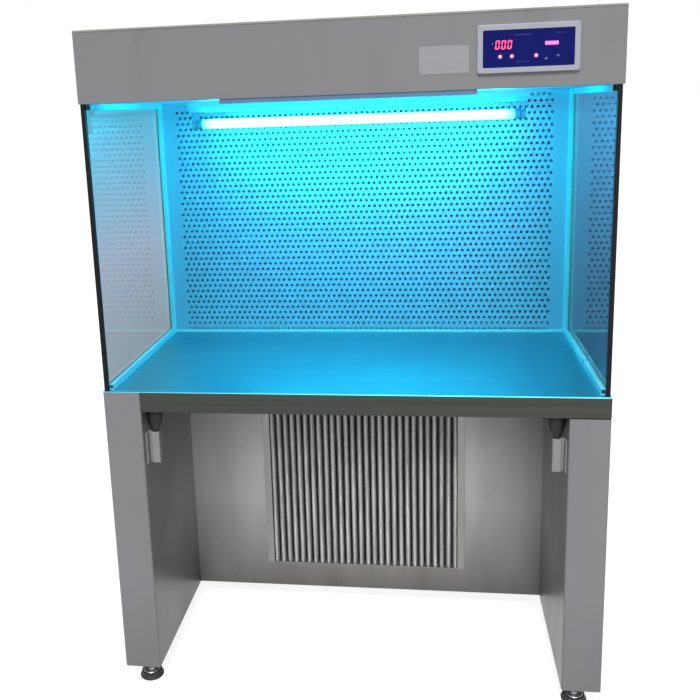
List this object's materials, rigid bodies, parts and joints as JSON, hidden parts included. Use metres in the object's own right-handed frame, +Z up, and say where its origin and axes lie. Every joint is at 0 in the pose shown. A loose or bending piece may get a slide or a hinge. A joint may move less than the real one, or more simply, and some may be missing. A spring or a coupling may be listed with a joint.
{
  "type": "horizontal laminar flow clean bench",
  "caption": "Floor-standing clean bench: an open chamber with side glass and a perforated diffuser over a stainless worktop, a lamp and control header above, a pleated pre-filter below.",
  "frame": {"origin": "on the floor, under the centre of the object's overall box", "axes": "+Z up, -Y is the open front where the user sits, +X is the user's right"},
  "size_m": [1.25, 0.8094, 1.715],
  "materials": {
    "powder_coat": "light grey powder coat, fine satin texture",
    "white_enamel": "smooth white enamel",
    "stainless": "brushed along the width",
    "zinc_steel": "zinc plated",
    "aluminium": "mill finish",
    "black_rubber": "matt black",
    "clear_glass": "tempered, polished",
    "lamp_glass": "phosphor-coated, lit",
    "filter_paper": "pleated glass-fibre paper",
    "filter_mat": "pleated non-woven mat",
    "motor_paint": "grey machine enamel",
    "white_plastic": "moulded",
    "keypad_film": "printed polyester film",
    "red_led": "lit",
    "circuit_board": "solder mask",
    "black_plastic": "moulded"
  },
  "bodies": {
    "cabinet": {"pillar_left": "powder_coat", "pillar_right": "powder_coat", "lower_front_panel": "powder_coat", "lower_floor_panel": "powder_coat", "lower_rear_cover": "powder_coat", "blower_deck": "powder_coat", "worktop": "stainless", "support_bracket_left": "white_enamel", "support_bracket_right": "white_enamel", "worktop_buffer_left": "black_rubber", "worktop_buffer_right": "black_rubber", "foot_lock_nuts": "zinc_steel", "upper_side_left": "powder_coat", "upper_side_right": "powder_coat", "header_front": "powder_coat", "ceiling_panel": "white_enamel", "top_cover": "powder_coat", "upper_rear_cover": "powder_coat", "rear_cover_screws": "zinc_steel", "side_glass_left": "clear_glass", "side_glass_right": "clear_glass", "glass_trim_left": "black_rubber", "glass_trim_right": "black_rubber", "glass_channels_left": "white_enamel", "glass_channels_right": "white_enamel", "diffuser_plate": "white_enamel", "diffuser_stile_left": "white_enamel", "diffuser_stile_right": "white_enamel", "filter_seat": "powder_coat", "filter_gasket": "black_rubber", "filter_frame": "aluminium", "filter_media": "filter_paper", "filter_clamps": "zinc_steel", "prefilter_frame": "aluminium", "prefilter_media": "filter_mat", "blower_housing": "zinc_steel", "inlet_cone": "aluminium", "blower_motor": "motor_paint", "lamp_channel": "white_enamel", "lamp_holder_left": "white_plastic", "lamp_holder_right": "white_plastic", "lamp_shield": "white_enamel", "lamp_ballast": "white_enamel", "control_bezel": "white_plastic", "keypad_overlay": "keypad_film", "digit_display": "red_led", "indicator_lights": "red_led", "control_board": "circuit_board", "mains_inlet": "black_plastic"},
    "foot_front_left": {"foot_pad_front_left": "black_rubber", "foot_stud_front_left": "zinc_steel"},
    "foot_front_right": {"foot_pad_front_right": "black_rubber", "foot_stud_front_right": "zinc_steel"},
    "foot_rear_left": {"foot_pad_rear_left": "black_rubber", "foot_stud_rear_left": "zinc_steel"},
    "foot_rear_right": {"foot_pad_rear_right": "black_rubber", "foot_stud_rear_right": "zinc_steel"},
    "blower_rotor": {"blower_wheel": "zinc_steel", "motor_shaft": "zinc_steel"},
    "lamp": {"lamp_tube": "lamp_glass"}
  },
  "joints": [
    {"name": "foot_front_left_height", "type": "slide", "parent": "cabinet", "child": "foot_front_left", "axis": [0, 0, 1], "range_m": [-0.015, 0.01]},
    {"name": "foot_front_right_height", "type": "slide", "parent": "cabinet", "child": "foot_front_right", "axis": [0, 0, 1], "range_m": [-0.015, 0.01]},
    {"name": "foot_rear_left_height", "type": "slide", "parent": "cabinet", "child": "foot_rear_left", "axis": [0, 0, 1], "range_m": [-0.015, 0.01]},
    {"name": "foot_rear_right_height", "type": "slide", "parent": "cabinet", "child": "foot_rear_right", "axis": [0, 0, 1], "range_m": [-0.015, 0.01]},
    {"name": "blower_spin", "type": "hinge", "parent": "cabinet", "child": "blower_rotor", "pos_m": [0, 0.24125, 0.57], "axis": [1, 0, 0], "continuous": true},
    {"name": "lamp_tube_turn", "type": "hinge", "parent": "cabinet", "child": "lamp", "pos_m": [0, 0.03125, 1.483], "axis": [1, 0, 0], "range_deg": [0, 90]}
  ]
}
